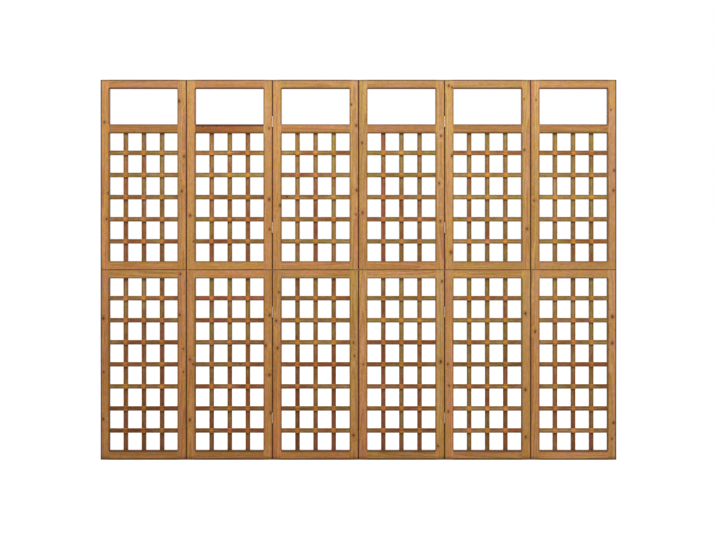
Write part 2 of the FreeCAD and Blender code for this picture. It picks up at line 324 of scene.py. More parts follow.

# Wander is how far the stain drifts along a stick, blotch is how uneven it is from one inch to the next,
# the arris depth is how far in from an edge the painted shade reaches, and rim_span is where the
# rim on that edge fades.
FRAME_LOOK = {
    "early": (0.57, 0.310, 0.128, 1),
    "late": (0.37, 0.160, 0.052, 1),
    "dark": (0.075, 0.032, 0.010, 1),
    "rim_stain": (0.32, 0.115, 0.010, 1),
    "rim_span": (0.0012, 0.0034),
    "pale_stain": (0.98, 1.04, 0.96, 1),
    "deep_stain": (1.03, 0.86, 0.66, 1),
    "wander": 0.8,
    "blotch": 0.55,
    "arris_shade_depth": 0.0090,
}
# The slats' wood is darker than the frame's, partly as painted shade on the recessed slats.
SLAT_LOOK = {
    "early": (0.355, 0.215, 0.080, 1),
    "late": (0.215, 0.104, 0.034, 1),
    "dark": (0.042, 0.019, 0.006, 1),
    "rim_stain": (0.50, 0.240, 0.028, 1),
    "rim_span": (0.0, 0.0056),
    "pale_stain": (0.98, 1.09, 0.88, 1),
    "deep_stain": (0.92, 0.46, 0.54, 1),
    "wander": 4.2,
    "blotch": 1.0,
    "arris_shade_depth": 0.0098,
}


class Fir(Graph):
    """Stained fir, drawn from what each stick's mesh says of its size, grain, knots and stain, and of shade
    painted on it.
    """

    def __init__(self, name, look):
        super().__init__(bpy.data.materials.new(name))
        self.look = look
        self.place = self.attribute("grain")
        self.along, self.across, self.deep = self.place
        self.half_along, self.half_across, self.half_deep = self.attribute("half")
        self.hue, self.value, seed_share = self.attribute("tone")
        self.low_red, self.high_red, self.other_edge_shade = self.attribute("stain_and_edge_shade")
        self.groove_side, self.groove_width, self.groove_red = self.attribute("groove")
        self.seed = self.multiply(seed_share, SEED_RANGE)
        self.fibre = self.wood_noise("fibre")
        self.mottle = self.wood_noise("mottle")

    def build(self):
        """Puts the layers on each other from the bare wood out, and returns the material."""
        nearest_knot = self.nearest_knot()
        latewood = self.latewood(nearest_knot)
        on_crossing = self.on_crossing()
        core = self.ramp(nearest_knot, *KNOT_CORE)
        halo = self.ramp(nearest_knot, *KNOT_HALO)
        color = self.stained(self.figured(latewood), on_crossing)
        color = self.mix(self.multiply(halo, HALO_STRENGTH), color, HALO_COLOR)
        color = self.mix(self.multiply(core, CORE_STRENGTH), color, CORE_COLOR)
        color = self.edged(color, on_crossing)
        color = self.grooved(self.ended(color))
        roughness = self.add(ROUGHNESS, self.multiply(self.fibre, ROUGHER_BY_FIBRE))
        roughness = self.subtract(roughness, self.multiply(latewood, SMOOTHER_BY_LATEWOOD))
        height = self.add(self.multiply(self.fibre, FIBRE_RELIEF), self.multiply(latewood, LATEWOOD_RELIEF))
        height = self.subtract(height, self.multiply(core, KNOT_HOLLOW))
        return self.surface(color, roughness, height, FIR_RELIEF, FIR_SHEEN)

    def wood_noise(self, name, output="Fac"):
        stretch, seed, detail, roughness = NOISES[name]
        vector = self.stretched(self.place, stretch)
        return self.noise(vector, self.add(self.seed, seed), detail=detail, roughness=roughness)[output]

    def nearest_knot(self):
        """How far the closest knot is, in its own radii, with a ragged edge."""
        nearest = FAR_FROM_KNOTS
        for number in range(KNOTS_PER_STICK):
            knot_along, knot_across, radius = self.attribute(f"knot_{number}")
            reach_along = self.multiply(self.subtract(self.along, knot_along), KNOT_SLENDER)
            away = self.length(reach_along, self.subtract(self.across, knot_across))
            nearest = self.smaller(nearest, self.divide(away, self.larger(radius, LEAST_RADIUS)))
        return self.add(nearest, self.swing(self.wood_noise("ragged"), KNOT_RAGGED))

    def latewood(self, nearest_knot):
        """The dark part of each growth ring. Rings go round a pith and bend at knots."""
        pith_across, pith_deep, taper = self.attribute("pith")
        drift_across, drift_deep, drift_ring = self.split(self.wood_noise("drift", "Color"))
        ring_across = self.add(self.subtract(self.across, pith_across), self.swing(drift_across, RING_WANDER))
        ring_deep = self.add(self.subtract(self.deep, pith_deep), self.swing(drift_deep, RING_WANDER))
        distance = self.add(self.length(ring_across, ring_deep), self.multiply(self.along, taper))
        distance = self.add(distance, self.ramp(nearest_knot, *RING_BEND))
        turns = self.add(self.divide(distance, RING_WIDTH), self.multiply(drift_ring, RING_UNEVEN))
        ring = self.math("FRACT", turns)
        return self.multiply(self.ramp(ring, *LATEWOOD_RISE), self.ramp(ring, *LATEWOOD_FALL))

    def figured(self, latewood):
        """Rings, broad bands, patches, fibres, flecks and dark streaks, and a blotchy surface."""
        look = self.look
        band = self.ramp(self.wood_noise("band"), *BAND_RANGE)
        patch = self.ramp(self.wood_noise("patch"), *PATCH_RANGE)
        mottle = self.ramp(self.mottle, *MOTTLE_RANGE)
        milk = self.ramp(self.wood_noise("milk"), *MILK_RANGE)
        color = self.mix(self.multiply(latewood, LATEWOOD_STRENGTH), look["early"], look["late"])
        color = self.tinted(color, BAND_STRENGTH, band, *BAND_TINTS)
        color = self.tinted(color, PATCH_STRENGTH, patch, *PATCH_TINTS)
        color = self.tinted(color, FIBRE_STRENGTH, self.fibre, *FIBRE_TINTS)
        color = self.mix(self.ramp(self.wood_noise("fleck"), *FLECKS), color, look["dark"])
        color = self.mix(self.ramp(self.wood_noise("streak"), *STREAKS), color, STREAK_COLOR)
        color = self.tinted(color, look["blotch"], mottle, *MOTTLE_TINTS)
        return self.tinted(color, look["blotch"], milk, *MILK_TINTS)

    def on_crossing(self):
        """Where a cross slat lies on an upright."""
        step, half, reach = self.attribute("crossing")
        nearest = self.multiply(self.math("ROUND", self.divide(self.along, step)), step)
        past_edge = self.subtract(self.size(self.subtract(self.along, nearest)), half)
        within = self.ramp(self.size(self.along), self.subtract(reach, MM), reach, 1.0, 0.0)
        return self.multiply(self.ramp(past_edge, *CROSSING_EDGE), within)

    def stained(self, color, on_crossing):
        """The stick's stain, from pale to deep, with some red, and its brightness, partly painted light and
        shade.
        """
        deepening, brightening, _ = self.attribute("drift")
        soaked = self.swing(self.wood_noise("soak"), self.look["wander"])
        depth = self.add(self.add(self.hue, self.multiply(self.along, deepening)), soaked, clamp=True)
        pull = self.multiply(on_crossing, CROSSING_PULL)
        depth = self.add(depth, self.multiply(self.subtract(CROSSING_DEPTH, depth), pull))
        color = self.tinted(color, 1.0, depth, self.look["pale_stain"], self.look["deep_stain"])
        toward_high = self.ramp(self.divide(self.along, self.half_along), *REDNESS_SPAN)
        redness = self.between(self.low_red, self.high_red, toward_high)
        color = self.mix(redness, color, RED_STAIN, "MULTIPLY")
        # Brightness: the stick's own tone, plus painted light and shade from its place and, on stiles and
        # uprights, from its drift.
        value = self.add(self.value, self.multiply(self.along, brightening))
        shade = self.add(SHADE_START, self.multiply(value, SHADE_SLOPE))
        color = self.mix(1.0, color, self.join(shade, shade, shade), "MULTIPLY")
        return self.mix(on_crossing, color, CROSSING_GLOW, "MULTIPLY")

    def on_side(self, side):
        """One on the side of the stick that the sign names, and zero on the other."""
        return self.above_zero(self.multiply(self.across, side))

    def joined(self):
        """Where a stile's edge meets a rail. Their faces are flush there, so the edge isn't darker."""
        joined = 1.0
        for number in range(OPENINGS_PER_STICK):
            middle, half, inner_side = self.attribute(f"opening_{number}")
            past = self.subtract(self.size(self.subtract(self.along, middle)), half)
            joined = self.smaller(joined, self.ramp(past, *JOINT_EDGE))
        return self.multiply(joined, self.on_side(inner_side))

    def edged(self, color, on_crossing):
        """Painted shade along the arrises and on the side faces, and a thin rim of another stain on it."""
        joined = self.joined()
        on_line = self.multiply(self.on_side(self.groove_side), self.groove_red)
        from_side = self.subtract(self.half_across, self.size(self.across))
        from_face = self.subtract(self.half_deep, self.size(self.deep))
        from_arris = self.larger(from_side, from_face)
        # The arrises and the side faces are darkened as painted shade, with a ragged inner edge.
        ragged_from_arris = self.add(from_arris, self.swing(self.fibre, ARRIS_SHADE_RAGGED))
        arris_shade = self.ramp(ragged_from_arris, ARRIS_SHADE_START, self.look["arris_shade_depth"], ARRIS_SHADE_STRENGTH, 0.0)
        dark = self.larger(arris_shade, self.ramp(from_side, *SIDE_FACE_SHADE))
        dark = self.without(dark, on_crossing, DARK_LEFT_OUT_ON_CROSSING)
        dark = self.without(dark, joined)
        dark = self.without(dark, on_line, DARK_LEFT_OUT_ON_LINE)
        color = self.mix(dark, color, self.look["dark"])
        rim = self.without(self.ramp(from_arris, *self.look["rim_span"], RIM_STRENGTH, 0.0), joined)
        rim = self.multiply(rim, self.ramp(self.mottle, *RIM_PATCHES))
        return self.mix(rim, color, self.look["rim_stain"])

    def ended(self, color):
        """Darker ends. A short dark end is the sawn end grain; a stile's long dark foot and its dark ends at
        the seam are painted shade.
        """
        low_end, high_end, strength = self.attribute("ends")
        reach = self.between(low_end, high_end, self.above_zero(self.along))
        from_end = self.subtract(self.half_along, self.size(self.along))
        line = self.ramp(self.divide(from_end, reach), *END_SPAN, strength, 0.0)
        return self.mix(line, color, self.look["dark"])

    def grooved(self, color):
        """A dark edge along one side of the stick, and a share of it along the other, mostly painted shade.
        """
        toward = self.multiply(self.across, self.groove_side)
        near = self.divide(self.subtract(self.half_across, toward), self.groove_width)
        far = self.divide(self.add(self.half_across, toward), self.groove_width)
        # The share on the other side is painted shade on the foot rail's top edge.
        on_other = self.multiply(self.ramp(far, *GROOVE_EDGE), self.other_edge_shade)
        dark = self.larger(self.ramp(near, *GROOVE_EDGE), on_other)
        dark = self.multiply(dark, self.size(self.groove_side))
        return self.mix(dark, color, self.mix(self.groove_red, self.look["dark"], GROOVE_RED))


# Zinc plate.

ZINC_MOTTLE = {"seed": 2.0, "scale": 420.0, "detail": 3.0}
ZINC_SPOTS = {"seed": 9.0, "scale": 1500.0, "detail": 2.0}
ZINC_SCUFFS = {"seed": 5.0, "detail": 2.0}
SCUFF_STRETCH = (2600.0, 2600.0, 160.0)
ZINC_MOTTLE_RANGE = (0.3, 0.7)
ZINC_DULL = 0.82
SPOT_RAMP = (0.62, 0.75, 0.0, 0.45)
SPOT_COLOR = (0.34, 0.29, 0.23, 1)
ZINC_ROUGHNESS = 0.24
ROUGHER_BY_SCUFF = 0.26
ZINC_RELIEF = 0.00004
ZINC_SHEEN = 0.5
HINGE_TINT = (0.84, 0.59, 0.41, 1)
BRAD_TINT = (0.52, 0.50, 0.47, 1)


def zinc(name, tint):
    """Zinc plate in a tint, with a faint mottle, dull spots and fine scuffs."""
    graph = Graph(bpy.data.materials.new(name))
    place = graph.node("ShaderNodeTexCoord").outputs["Object"]
    mottle = graph.noise(place, **ZINC_MOTTLE)["Fac"]
    spot = graph.noise(place, **ZINC_SPOTS)["Fac"]
    scuff = graph.noise(graph.stretched(graph.split(place), SCUFF_STRETCH), **ZINC_SCUFFS)["Fac"]
    dull = tuple(ZINC_DULL * part for part in tint[:3]) + (1,)
    color = graph.mix(graph.ramp(mottle, *ZINC_MOTTLE_RANGE), tint, dull)
    color = graph.mix(graph.ramp(spot, *SPOT_RAMP), color, SPOT_COLOR)
    roughness = graph.add(ZINC_ROUGHNESS, graph.multiply(scuff, ROUGHER_BY_SCUFF))
    return graph.surface(color, roughness, graph.add(scuff, mottle), ZINC_RELIEF, ZINC_SHEEN, metallic=1.0)


frame_fir = Fir("stained_fir_frame", FRAME_LOOK).build()
slat_fir = Fir("stained_fir_slats", SLAT_LOOK).build()
steel = zinc("zinc_plated_steel", HINGE_TINT)
brad_steel = zinc("brad_steel", BRAD_TINT)


# Sticks.

SAME_PLACE = 1e-6
SORT_DIGITS = 4
BLOCK_SEGMENTS = 3


def solids(node):
    """The lowest and highest corner of each separate solid in a CAD node, in order of height, then place."""
    mesh = bmesh.new()
    mesh.from_mesh(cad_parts[node].data)
    bmesh.ops.remove_doubles(mesh, verts=mesh.verts, dist=SAME_PLACE)
    waiting = set(mesh.verts)
    found = []
    for first in mesh.verts:
        if first not in waiting:
            continue
        waiting.discard(first)
        group = [first]
        for vert in group:
            for edge in vert.link_edges:
                other = edge.other_vert(vert)
                if other in waiting:
                    waiting.discard(other)
                    group.append(other)
        low = Vector([min(vert.co[axis] for vert in group) for axis in range(3)])
        high = Vector([max(vert.co[axis] for vert in group) for axis in range(3)])
        found.append((low, high))
    mesh.free()
    return sorted(found, key=lambda box: (round(box[0].z, SORT_DIGITS), round(box[0].x, SORT_DIGITS)))


def eased_block(segments):
    """A block with rounded edges, as each corner's sign and its turn from core to surface, and its faces."""
    core = 0.5
    mesh = bmesh.new()
    bmesh.ops.create_cube(mesh, size=2)
    bmesh.ops.bevel(mesh, geom=mesh.edges[:], offset=1 - core, segments=segments, profile=0.5, affect="EDGES")
    mesh.verts.index_update()
    points = []
    for vert in mesh.verts:
        sign = [1 if part > 0 else -1 for part in vert.co]
        turn = [clamped((abs(part) - core) / (1 - core), 0.0, 1.0) for part in vert.co]
        points.append((sign, turn))
    faces = [[vert.index for vert in face.verts] for face in mesh.faces]
    mesh.free()
    return points, faces


BLOCK_POINTS, BLOCK_FACES = eased_block(BLOCK_SEGMENTS)

# How far a stick's pith may lie across it, how far into it at least and at most, and how its rings taper.
PITH_ACROSS = 0.025
PITH_DEEP = (0.022, 0.06)
PITH_TAPER = 0.012

# What a stick's mesh says of it unless told otherwise. Crossing is the step, half width and reach of the
# uprights behind it. Groove is the side, width and redness of a dark edge, mostly painted shade. Ends are
# how far each end is darker, and how much. Drift is how much deeper the stain and how much brighter the
# stick gets with each metre along it; on stiles and uprights the brightening is painted light from above.
# The stain and edge shade are how red each end is, and how strong the groove's dark edge, painted shade, is
# on the other side.
PLAIN_STICK = {
    "crossing": (1.0, 0.0, 0.0),
    "groove": (0.0, 1.0, 0.0),
    "ends": (0.0012, 0.0012, 0.4),
    "drift": (0.0, 0.0, 0.0),
    "stain_and_edge_shade": (0.0, 0.0, 0.0),
}
NO_KNOT = (0, 0, 0)


class Sticks:
    """The sticks of one CAD node, as one mesh that carries what the grain needs."""

    NAMES = ["grain", "half", "pith", "tone", *PLAIN_STICK]
    NAMES += [f"knot_{number}" for number in range(KNOTS_PER_STICK)]
    NAMES += [f"opening_{number}" for number in range(OPENINGS_PER_STICK)]

    def __init__(self):
        self.points, self.normals, self.faces = [], [], []
        self.traits = {name: [] for name in self.NAMES}

    def add(self, low, high, along, ease, tone, inner_side=0, openings=(), **traits):
        """One stick in a box. Ease gives the rounding along X, Y and Z at its low and at its high side in X.

        Along the inner side the stick's edge shows only at the openings, each given by its lowest and highest
        point. Traits are those that differ from a plain stick's.
        """
        across = X_AXIS if along == Z_AXIS else Z_AXIS
        order = (along, across, Y_AXIS)
        middle, half = (low + high) / 2, (high - low) / 2
        pith_across = chance.uniform(-PITH_ACROSS, PITH_ACROSS)
        pith_deep = chance.choice((-1, 1)) * chance.uniform(*PITH_DEEP)
        taper = chance.uniform(-PITH_TAPER, PITH_TAPER)
        steady = {**PLAIN_STICK, **traits}
        steady["half"] = tuple(half[axis] for axis in order)
        steady["pith"] = (pith_across, pith_deep, taper)
        steady["tone"] = (*tone, chance.random())
        knots = self.knots_on(middle, half, along, across) + [NO_KNOT] * KNOTS_PER_STICK
        steady.update({f"knot_{number}": knots[number] for number in range(KNOTS_PER_STICK)})
        spans = []
        for start, end in openings:
            spans.append(((start + end) / 2 - middle[along], (end - start) / 2, inner_side))
        spans += [(0, -1, inner_side)] * OPENINGS_PER_STICK
        steady.update({f"opening_{number}": spans[number] for number in range(OPENINGS_PER_STICK)})

        first = len(self.points)
        for sign, turn in BLOCK_POINTS:
            rounding = ease[1 if sign[0] > 0 else 0]
            offset = Vector([s * (h - r * (1 - t)) for s, h, r, t in zip(sign, half, rounding, turn)])
            self.points.append(middle + offset)
            self.normals.append(Vector([s * t / r for s, t, r in zip(sign, turn, rounding)]).normalized())
            self.traits["grain"].append(tuple(offset[axis] for axis in order))
            for name, trait in steady.items():
                self.traits[name].append(trait)
        self.faces += [[first + index for index in face] for face in BLOCK_FACES]

    @staticmethod
    def knots_on(middle, half, along, across):
        """The knots on a stick, each as its place along and across the stick and its radius."""
        found = []
        for x, z, radius in KNOTS:
            spot = Vector((x, 0, z)) - middle
            if abs(spot.x) <= half.x and abs(spot.z) <= half.z:
                found.append((spot[along], spot[across], radius))
        return found

    def finish(self, panel, node, material):
        """The sticks as a piece of a panel, in place of their CAD node."""
        mesh = bpy.data.meshes.new(f"fir_{node}")
        mesh.from_pydata(self.points, [], self.faces)
        for name in self.NAMES:
            attribute = mesh.attributes.new(name, "FLOAT_VECTOR", "POINT")
            attribute.data.foreach_set("vector", [part for vector in self.traits[name] for part in vector])
        mesh.shade_smooth()
        mesh.normals_split_custom_set_from_vertices(self.normals)
        mesh.materials.append(material)
        piece = linked(f"fir_{node}", mesh)
        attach(piece, f"panel_{panel}")
        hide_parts(node)


# Rounding of the edges along X, Y and Z.
INNER_EASE = (0.0012, 0.0018, 0.0014)
OUTER_EASE = (0.0030, 0.0065, 0.0014)
RAIL_EASE = (0.0005, 0.0018, 0.0013)
SLAT_EASE = (0.0010, 0.0010, 0.0010)

# How far a slat goes into the frame, and a stile into the gap beside a hinge.
SLAT_IN_FRAME = 0.002
EDGE_REACH = 0.00019

# Mean stain, from pale to deep, mean brightness, and how much both differ from stick to stick.
STILE_TONE = (0.45, 0.45, 0.08)
TONGUE_TONE = (0.5, 0.5, 0.1)
CROSS_SLAT_TONE = (0.42, 0.52, 0.28)
UPRIGHT_SLAT_TONE = (0.52, 0.52, 0.28)
UPPER_RAIL_TONES = ((0.72, 0.38, 0.12), (1.10, -0.10, 0.12), (0.75, 0.20, 0.12))
# The foot rail's low brightness is partly painted shade near the floor.
LOWER_RAIL_TONES = ((0.55, 0.14, 0.12), (0.55, 0.40, 0.12))

# How the mean changes with a stick's place: lower down, to the right, and both at once. The stain deepens
# lower down and pales to the right; the brightness that falls lower down and rises at the low right is
# painted light and shade.
MIDDLE_HEIGHT = 0.9
DEEPER_BELOW = 0.4
PALER_RIGHT = 0.22
PALER_LOW_RIGHT = 0.2
LIGHTER_LOW_RIGHT = 0.4
FRAME_DARKER_BELOW = 0.06
SLATS_DARKER_BELOW = 0.25
LIGHT_SPREAD = 0.8
LIGHT_RANGE = (-0.6, 1.2)

# Dark ends and edges of the sticks, and what else differs from a plain stick. The long dark foot of a stile,
# the dark ends and edges at the seam, the dark edges beside the gaps at the hinge lines and on the outer
# edges, and the foot rail's dark edges are painted shade.
TOP_END_DARK_REACH = 0.0120
SEAM_SHADE_WIDTH = 0.0034
FOOT_SHADE_REACH = 0.0230
STILE_END_STRENGTH = 0.68
SCREEN_EDGE_SHADE_WIDTH = 0.0100
LINE_GAP_SHADE_WIDTH = 0.0033
# Stiles and uprights get paler and brighter higher up; the brightening is painted light from above.
STILE_DRIFT = (-0.8, 0.12, 0.0)
UPRIGHT_DRIFT = (-1.10, 0.80, 0.0)
TOP_RAIL = {"groove": (1, 0.0068, 0)}
# The foot rail's dark bottom edge and the weaker dark line on its top edge are painted shade.
FOOT_RAIL = {"groove": (-1, 0.0115, 0), "stain_and_edge_shade": (0.0, 0.0, 0.7)}
DARK_RAIL = {"groove": (1, 0.0150, 1), "drift": (0.0, 1.6, 0.0), "stain_and_edge_shade": (1.0, 0.2, 0.0)}
DARK_RAIL_PLACE = ("panel_2_upper_rails", 1)
DARK_RAIL_TONE = (1.5, -0.35, 0.12)

# Three uprights lie behind a cross slat, so the crossings end within so many steps of its middle.
CROSSING_STEPS = 1.5


def stick_tone(low, high, mean_tone, darker_below=FRAME_DARKER_BELOW):
    """The stain and brightness of the stick in a box, by chance round a mean that changes with its place."""
    deep, light, spread = mean_tone
    place = (low + high) / 2
    below = MIDDLE_HEIGHT - place.z
    low_right = max(0.0, below) * place.x
    mean_hue = deep + DEEPER_BELOW * below - PALER_RIGHT * place.x - PALER_LOW_RIGHT * low_right
    # The brightness falling lower down and rising at the low right is painted light and shade.
    mean_value = light - darker_below * below + LIGHTER_LOW_RIGHT * low_right
    hue = clamped(chance.gauss(mean_hue, spread), 0.0, 1.0)
    value = clamped(chance.gauss(mean_value, LIGHT_SPREAD * spread), *LIGHT_RANGE)
    return hue, value


def at_foot(low):
    return low.z < cad_low.z + MM


def at_top(high):
    return high.z > cad_high.z - MM


def build_stiles(panel, name):
    """The left and the right stile of a frame. Beside a hinge they reach into the gap."""
    node = f"panel_{panel}_{name}"
    rails = solids(node.replace("stiles", "rails"))
    openings = [(lower[1].z, upper[0].z) for lower, upper in zip(rails, rails[1:])]
    sticks = Sticks()
    for outer, (low, high) in zip((-1, 1), solids(node)):
        ease = (OUTER_EASE, INNER_EASE) if outer < 0 else (INNER_EASE, OUTER_EASE)
        # Painted shade along the outer edge: wide at the ends of the screen, narrow and red beside the gap at
        # a hinge line.
        groove = (outer, SCREEN_EDGE_SHADE_WIDTH, 0)
        if (panel, outer) not in ((1, -1), (PANELS, 1)):
            groove = (outer, LINE_GAP_SHADE_WIDTH, 1)
            low.x -= EDGE_REACH * (outer < 0)
            high.x += EDGE_REACH * (outer > 0)
        # The stile's long dark foot is painted shade near the floor, and its dark end at the seam is painted
        # shade.
        low_end = FOOT_SHADE_REACH if at_foot(low) else SEAM_SHADE_WIDTH
        high_end = TOP_END_DARK_REACH if at_top(high) else SEAM_SHADE_WIDTH
        tone = stick_tone(low, high, STILE_TONE)
        sticks.add(low, high, Z_AXIS, ease, tone, inner_side=-outer, openings=openings, groove=groove,
                   ends=(low_end, high_end, STILE_END_STRENGTH), drift=STILE_DRIFT)
    sticks.finish(panel, node, frame_fir)


def build_rails(panel, name, opening, seam, tones):
    """A frame's rails from the foot up, shoulder to shoulder, each with its mean tone."""
    node = f"panel_{panel}_{name}"
    sticks = Sticks()
    for number, ((low, high), mean_tone) in enumerate(zip(solids(node), tones)):
        low.x = opening[0] - INNER_EASE[0]
        high.x = opening[1] + INNER_EASE[0]
        seam_side = 0
        traits = {}
        if at_top(high):
            traits = TOP_RAIL
        elif at_foot(low):
            traits = FOOT_RAIL
        elif abs(low.z - seam) < MM:
            seam_side = -1
        elif abs(high.z - seam) < MM:
            seam_side = 1
        # Rails at the seam get a dark edge there, painted shade in the seam.
        if seam_side:
            traits = {"groove": (seam_side, SEAM_SHADE_WIDTH, 0)}
        if (node, number) == DARK_RAIL_PLACE:
            mean_tone = DARK_RAIL_TONE
            traits = DARK_RAIL
        tone = stick_tone(low, high, mean_tone)
        sticks.add(low, high, X_AXIS, (RAIL_EASE, RAIL_EASE), tone, inner_side=seam_side, **traits)
    sticks.finish(panel, node, frame_fir)


def build_slats(panel, name, along, housing, mean_tone, **traits):
    """A panel's slats that run one way. They end a little way into the frame."""
    node = f"panel_{panel}_{name}"
    sticks = Sticks()
    for low, high in solids(node):
        low[along] += housing - SLAT_IN_FRAME
        high[along] -= housing - SLAT_IN_FRAME
        tone = stick_tone(low, high, mean_tone, SLATS_DARKER_BELOW)
        sticks.add(low, high, along, (SLAT_EASE, SLAT_EASE), tone, **traits)
    sticks.finish(panel, node, slat_fir)


def build_tongue(panel):
    """The loose tongue between a panel's two frames."""
    node = f"panel_{panel}_joining_tongue"
    sticks = Sticks()
    for low, high in solids(node):
        tone = stick_tone(low, high, TONGUE_TONE)
        sticks.add(low, high, X_AXIS, (SLAT_EASE, SLAT_EASE), tone)
    sticks.finish(panel, node, frame_fir)


def build_panel(panel):
    """A panel's two frames, its slats, its tongue and its brads."""
    left, right = solids(f"panel_{panel}_upper_stiles")
    opening = (left[1].x, right[0].x)
    seam = left[0].z
    uprights = solids(f"panel_{panel}_upright_slats")
    cross = solids(f"panel_{panel}_cross_slats")
    housing = opening[0] - cross[0][0].x
    step = uprights[1][0].x - uprights[0][0].x
    width = uprights[0][1].x - uprights[0][0].x
    crossing = (step, width / 2, CROSSING_STEPS * step)
    build_stiles(panel, "upper_stiles")
    build_stiles(panel, "lower_stiles")
    build_rails(panel, "upper_rails", opening, seam, UPPER_RAIL_TONES)
    build_rails(panel, "lower_rails", opening, seam, LOWER_RAIL_TONES)
    build_slats(panel, "cross_slats", X_AXIS, housing, CROSS_SLAT_TONE, crossing=crossing)
    build_slats(panel, "upright_slats", Z_AXIS, housing, UPRIGHT_SLAT_TONE, drift=UPRIGHT_DRIFT)
    build_tongue(panel)
    build_brads(panel, uprights, cross)


# Turned and folded metal.

SHARP_ANGLE = math.radians(35)

# Radius and height in millimetres, from under the wood's surface out.
BRAD_HEAD = [(0, -0.2), (1.1, -0.2), (1.1, 0.12), (0.8, 0.2), (0, 0.24)]
BRAD_SIDES = 14
BRAD_OFF_MIDDLE = 0.003


def metal_piece(name, mesh, body, material, *nodes):
    """A steel piece that rides on a body, in place of its CAD nodes where it has any."""
    bmesh.ops.recalc_face_normals(mesh, faces=mesh.faces[:])
    data = bpy.data.meshes.new(name)
    mesh.to_mesh(data)
    mesh.free()
    data.materials.append(material)
    data.shade_smooth()
    data.set_sharp_from_angle(angle=SHARP_ANGLE)
    piece = linked(name, data)
    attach(piece, body)
    if nodes:
        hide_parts(*nodes)


def circle(radius, sides):
    """The points of a circle, in two coordinates."""
    angles = [2 * math.pi * side / sides for side in range(sides)]
    return [(radius * math.cos(angle), radius * math.sin(angle)) for angle in angles]


def bridge(mesh, first, second):
    """Faces between two rings of as many points."""
    for step in range(len(first)):
        after = (step + 1) % len(first)
        mesh.faces.new((first[step], first[after], second[after], second[step]))


def turned(mesh, place, profile, sides):
    """A turned solid. The profile gives radius and height, from one point on its axis to another."""
    rings = []
    for radius, height in profile:
        points = circle(radius, sides) if radius else [(0, 0)]
        rings.append([mesh.verts.new(place(*point, height)) for point in points])
    for lower, upper in zip(rings, rings[1:]):
        for side in range(sides):
            after = (side + 1) % sides
            corners = [lower[side % len(lower)], lower[after % len(lower)],
                       upper[after % len(upper)], upper[side % len(upper)]]
            mesh.faces.new(list(dict.fromkeys(corners)))


def build_brads(panel, uprights, cross):
    """Brad heads on the back of the uprights, one at each crossing, a little off the middle."""
    mesh = bmesh.new()
    for low, high in uprights:
        for cross_low, cross_high in cross:
            middle = (cross_low.z + cross_high.z) / 2
            if low.z < middle < high.z:
                x = (low.x + high.x) / 2 + chance.uniform(-BRAD_OFF_MIDDLE, BRAD_OFF_MIDDLE)
                z = middle + chance.uniform(-BRAD_OFF_MIDDLE, BRAD_OFF_MIDDLE)

                def place(across, up, out):
                    return Vector((x + across * MM, high.y + out * MM, z + up * MM))

                turned(mesh, place, BRAD_HEAD, BRAD_SIDES)
    metal_piece(f"panel_{panel}_brad_heads", mesh, f"panel_{panel}", brad_steel)


# Hinges, in millimetres: a is away from the middle of the gap, b goes from the pin into the panel.

HALF_SHEET = 0.725
HALF_LEAF_GAP = 0.05
PLATE_A = HALF_LEAF_GAP + HALF_SHEET
PLATE_FAR = 17.0
PLATE_NEAR = 3.75
PIN_RADIUS = 1.5
PIN_BEVEL = 0.35
PIN_CLEARANCE = 0.05
PIN_SIDES = 20
CURL_RADIUS = PIN_RADIUS + PIN_CLEARANCE + HALF_SHEET
CURL_END = -256
CURL_STEPS = 20
BEND_STEPS = 6
BEND_LEAVES_PLATE = 2.2
BEND_MEETS_CURL = 1.9
SCREW_B = 10.6
SCREW_Z = 16.6
SCREW_CELL = 3.3
COUNTERSINK = 2.5
SHANK = 1.5
HOLE_SIDES = 24
KNUCKLE_HALF = 8.233
KNUCKLE_GAP = 0.3
KNUCKLE_CLEAR = KNUCKLE_HALF + KNUCKLE_GAP
HINGE_HALF = 25.0
PIN_END = [(PIN_RADIUS, HINGE_HALF - PIN_BEVEL), (PIN_RADIUS - PIN_BEVEL, HINGE_HALF), (0, HINGE_HALF)]
PIN = [(radius, -height) for radius, height in reversed(PIN_END)] + PIN_END

PLATE_B = (PLATE_FAR, SCREW_B + SCREW_CELL, SCREW_B - SCREW_CELL, PLATE_NEAR)
PLATE_CELLS = len(PLATE_B) - 1
SCREW_COLUMN = 1
SCREW_ROWS = (1, 7)

RECESS_ARM = 1.35
RECESS_HALF = 0.34
RECESS_FLOOR = 0.75
RECESS_TAPER = 0.82
HEAD_RADIUS = 2.42
HEAD_TOP = 0.10
HEAD_FOOT = 1.45
SHANK_FIT = 0.94


def sheet_path():
    """The middle line of a leaf's sheet, from the far edge of its plate round the pin to the curl's end."""
    path = [(PLATE_A, b) for b in PLATE_B]
    pulls = [(PLATE_A, PLATE_NEAR), (PLATE_A, BEND_LEAVES_PLATE),
             (CURL_RADIUS, BEND_MEETS_CURL), (CURL_RADIUS, 0)]
    for step in range(1, BEND_STEPS):
        t = step / BEND_STEPS
        shares = ((1 - t) ** 3, 3 * (1 - t) ** 2 * t, 3 * (1 - t) * t * t, t ** 3)
        path.append(tuple(sum(share * pull[axis] for share, pull in zip(shares, pulls)) for axis in (0, 1)))
    for step in range(CURL_STEPS + 1):
        angle = math.radians(CURL_END * step / CURL_STEPS)
        path.append((CURL_RADIUS * math.cos(angle), CURL_RADIUS * math.sin(angle)))
    return path


def two_sides(path):
    """The outer and inner line of the sheet, each half its thickness from the middle line."""
    sides = []
    for number, (a, b) in enumerate(path):
        before = path[max(0, number - 1)]
        after = path[min(len(path) - 1, number + 1)]
        if number < len(PLATE_B):
            # The plate is straight, also where the bend begins.
            before, after = (0, 1), (0, 0)
        run = Vector((after[0] - before[0], after[1] - before[1])).normalized()
        out = Vector((-run.y, run.x)) * HALF_SHEET
        sides.append(((a + out.x, b + out.y), (a - out.x, b - out.y)))
    return sides


